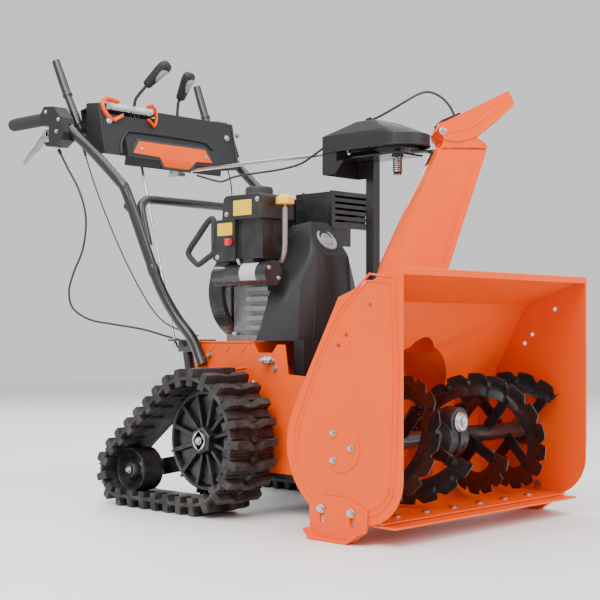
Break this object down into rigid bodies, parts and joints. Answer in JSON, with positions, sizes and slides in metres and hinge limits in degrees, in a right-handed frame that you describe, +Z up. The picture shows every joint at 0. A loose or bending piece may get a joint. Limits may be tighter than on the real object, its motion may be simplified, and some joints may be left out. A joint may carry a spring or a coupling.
{
  "type": "two stage snowblower",
  "caption": "Walk-behind two stage snow thrower on rubber tracks, with a serrated auger intake, a turning chute, an engine and a handlebar dash.",
  "frame": {"origin": "on the ground under the middle of the machine's length and width", "axes": "+Z up; the intake faces -Y and the operator stands at +Y; the operator's right hand is at -X"},
  "size_m": [0.6758, 1.32, 1.0833],
  "materials": {
    "orange_paint": "gloss powder coat",
    "black_paint": "gloss powder coat",
    "dark_plastic": "moulded, fine grain",
    "black_plastic": "moulded",
    "black_rubber": "matt, slightly dusty",
    "zinc_steel": "zinc plated",
    "cast_metal": "sand cast",
    "yellow_plastic": "moulded",
    "red_plastic": "moulded",
    "clear_lens": "clear moulded lens"
  },
  "bodies": {
    "machine": {"auger_housing": "orange_paint", "side_plate_right": "orange_paint", "side_plate_left": "orange_paint", "impeller_drum": "orange_paint", "scraper_blade": "orange_paint", "auger_gearbox": "black_paint", "auger_bearings": "zinc_steel", "chute_post": "black_paint", "gear_cover": "dark_plastic", "dash_panel": "dark_plastic", "headlight": "clear_lens", "handlebars": "black_paint", "handle_hoop": "black_paint", "grips": "black_rubber", "lever_mounts": "dark_plastic", "control_cables": "black_rubber", "deflector_cable": "black_rubber", "tractor_frame": "orange_paint", "belly_pan": "black_paint", "belt_cover": "dark_plastic", "belts_and_chain": "black_rubber", "lock_strut": "black_paint", "engine_block": "cast_metal", "blower_housing": "black_plastic", "starter_motor": "cast_metal", "engine_covers": "dark_plastic", "muffler": "black_paint", "fasteners": "zinc_steel"},
    "augers": {"auger_shaft": "zinc_steel", "auger_right": "black_paint", "auger_left": "black_paint"},
    "impeller": {"impeller": "black_paint", "impeller_shaft": "zinc_steel"},
    "crankshaft": {"crankshaft": "zinc_steel"},
    "drive_disc": {"drive_disc": "cast_metal"},
    "chute": {"chute": "orange_paint", "chute_arm": "orange_paint"},
    "deflector": {"deflector": "orange_paint"},
    "chute_rod": {"chute_rod": "zinc_steel"},
    "chute_lever": {"chute_lever": "black_paint"},
    "speed_lever": {"speed_lever": "black_paint"},
    "speed_rod": {"speed_rod": "zinc_steel"},
    "hex_shaft": {"hex_shaft": "zinc_steel"},
    "friction_wheel": {"friction_wheel": "black_rubber"},
    "drive_axle": {"drive_axle": "zinc_steel", "drive_wheels": "black_paint"},
    "track_carriage": {"track_carriage": "black_paint", "track_belt_right": "black_rubber", "track_belt_left": "black_rubber"},
    "idlers": {"idler_wheels": "black_paint"},
    "strut_rod": {"strut_rod": "zinc_steel"},
    "clutch_right": {"clutch_lever_right": "black_paint"},
    "clutch_left": {"clutch_lever_left": "black_paint"},
    "lock_trigger": {"lock_trigger": "zinc_steel"},
    "recoil_handle": {"recoil_handle": "black_plastic"},
    "dipstick": {"dipstick": "yellow_plastic"},
    "fuel_cap": {"fuel_cap": "black_plastic"},
    "ignition_key": {"ignition_key": "red_plastic"},
    "skid_right": {"skid_shoe_right": "orange_paint"},
    "skid_left": {"skid_shoe_left": "orange_paint"}
  },
  "joints": [
    {"name": "auger_spin", "type": "hinge", "parent": "machine", "child": "augers", "pos_m": [0, -0.51, 0.18], "axis": [1, 0, 0], "continuous": true},
    {"name": "impeller_spin", "type": "hinge", "parent": "machine", "child": "impeller", "pos_m": [0, -0.36, 0.213], "axis": [0, 1, 0], "continuous": true},
    {"name": "crank_spin", "type": "hinge", "parent": "machine", "child": "crankshaft", "pos_m": [0, -0.06, 0.49], "axis": [0, 1, 0], "continuous": true},
    {"name": "disc_spin", "type": "hinge", "parent": "machine", "child": "drive_disc", "pos_m": [0, -0.06, 0.262], "axis": [0, 1, 0], "continuous": true},
    {"name": "chute_turn", "type": "hinge", "parent": "machine", "child": "chute", "pos_m": [0, -0.39, 0.6], "axis": [0, 0, 1], "range_deg": [-145, 55]},
    {"name": "deflector_tilt", "type": "hinge", "parent": "chute", "child": "deflector", "pos_m": [0.06223, -0.45222, 0.818], "axis": [0.7071, 0.7071, 0], "range_deg": [-8, 38]},
    {"name": "rod_turn", "type": "hinge", "parent": "machine", "child": "chute_rod", "pos_m": [0.055, 0.376, 0.812], "axis": [0.0448, 0.9989, 0.0149], "range_deg": [-20.5, 7.8]},
    {"name": "lever_tilt", "type": "hinge", "parent": "chute_rod", "child": "chute_lever", "pos_m": [0.055, 0.4, 0.812], "axis": [1, 0, 0], "range_deg": [-15.5, 3.5]},
    {"name": "speed_shift", "type": "hinge", "parent": "machine", "child": "speed_lever", "pos_m": [-0.088, 0.4, 0.862], "axis": [1, 0, 0], "range_deg": [-24, 11]},
    {"name": "speed_rod_slide", "type": "slide", "parent": "machine", "child": "speed_rod", "axis": [0.0832, 0.3646, 0.9274], "range_m": [-0.0055, 0.012]},
    {"name": "hex_spin", "type": "hinge", "parent": "machine", "child": "hex_shaft", "pos_m": [0, 0.03, 0.262], "axis": [1, 0, 0], "continuous": true},
    {"name": "friction_slide", "type": "slide", "parent": "hex_shaft", "child": "friction_wheel", "axis": [1, 0, 0], "range_m": [-0.03, 0.064]},
    {"name": "drive_spin", "type": "hinge", "parent": "machine", "child": "drive_axle", "pos_m": [0, -0.045, 0.16], "axis": [1, 0, 0], "continuous": true},
    {"name": "track_tilt", "type": "hinge", "parent": "machine", "child": "track_carriage", "pos_m": [0, -0.045, 0.16], "axis": [1, 0, 0], "range_deg": [-8, 20]},
    {"name": "idler_spin", "type": "hinge", "parent": "track_carriage", "child": "idlers", "pos_m": [0, 0.195, 0.079], "axis": [1, 0, 0], "continuous": true},
    {"name": "strut_slide", "type": "slide", "parent": "machine", "child": "strut_rod", "axis": [0, 0.2047, 0.9788], "range_m": [-0.026, 0.064]},
    {"name": "clutch_right_pivot", "type": "hinge", "parent": "machine", "child": "clutch_right", "pos_m": [-0.226, 0.43, 0.893], "axis": [-1, 0, 0], "range_deg": [0, 55], "stiffness_Nm_per_rad": 2, "springref_deg": -91.67},
    {"name": "clutch_left_pivot", "type": "hinge", "parent": "machine", "child": "clutch_left", "pos_m": [0.226, 0.43, 0.893], "axis": [-1, 0, 0], "range_deg": [0, 55], "stiffness_Nm_per_rad": 2, "springref_deg": -91.67},
    {"name": "lock_trigger_pivot", "type": "hinge", "parent": "machine", "child": "lock_trigger", "pos_m": [-0.274, 0.496, 0.886], "axis": [1, 0, 0], "range_deg": [0, 14], "stiffness_Nm_per_rad": 0.8, "springref_deg": -51.57},
    {"name": "recoil_pull", "type": "slide", "parent": "machine", "child": "recoil_handle", "axis": [0, 1, 0], "range_m": [0, 0.5], "stiffness_N_per_m": 20, "springref_m": -0.6},
    {"name": "dipstick_lift", "type": "slide", "parent": "machine", "child": "dipstick", "axis": [0, 0, 1], "range_m": [0, 0.16]},
    {"name": "fuel_cap_turn", "type": "hinge", "parent": "machine", "child": "fuel_cap", "pos_m": [-0.006, 0.026, 0.72], "axis": [0, 0, 1], "range_deg": [0, 75]},
    {"name": "key_pull", "type": "slide", "parent": "machine", "child": "ignition_key", "axis": [-1, 0, 0], "range_m": [0, 0.025]},
    {"name": "skid_right_height", "type": "slide", "parent": "machine", "child": "skid_right", "axis": [0, 0, 1], "range_m": [0, 0.023]},
    {"name": "skid_left_height", "type": "slide", "parent": "machine", "child": "skid_left", "axis": [0, 0, 1], "range_m": [0, 0.023]}
  ],
  "couplings": [
    {"joint": "impeller_spin", "follows": "auger_spin", "ratio": 10},
    {"joint": "rod_turn", "follows": "chute_turn", "ratio": 0.14},
    {"joint": "lever_tilt", "follows": "deflector_tilt", "ratio": -0.4},
    {"joint": "speed_rod_slide", "follows": "speed_shift", "m_per_rad": -0.028},
    {"joint": "friction_slide", "follows": "speed_shift", "m_per_rad": -0.15},
    {"joint": "hex_spin", "follows": "drive_spin", "ratio": 2.4},
    {"joint": "idler_spin", "follows": "drive_spin", "ratio": 2.56},
    {"joint": "strut_slide", "follows": "track_tilt", "m_per_rad": 0.1754}
  ]
}
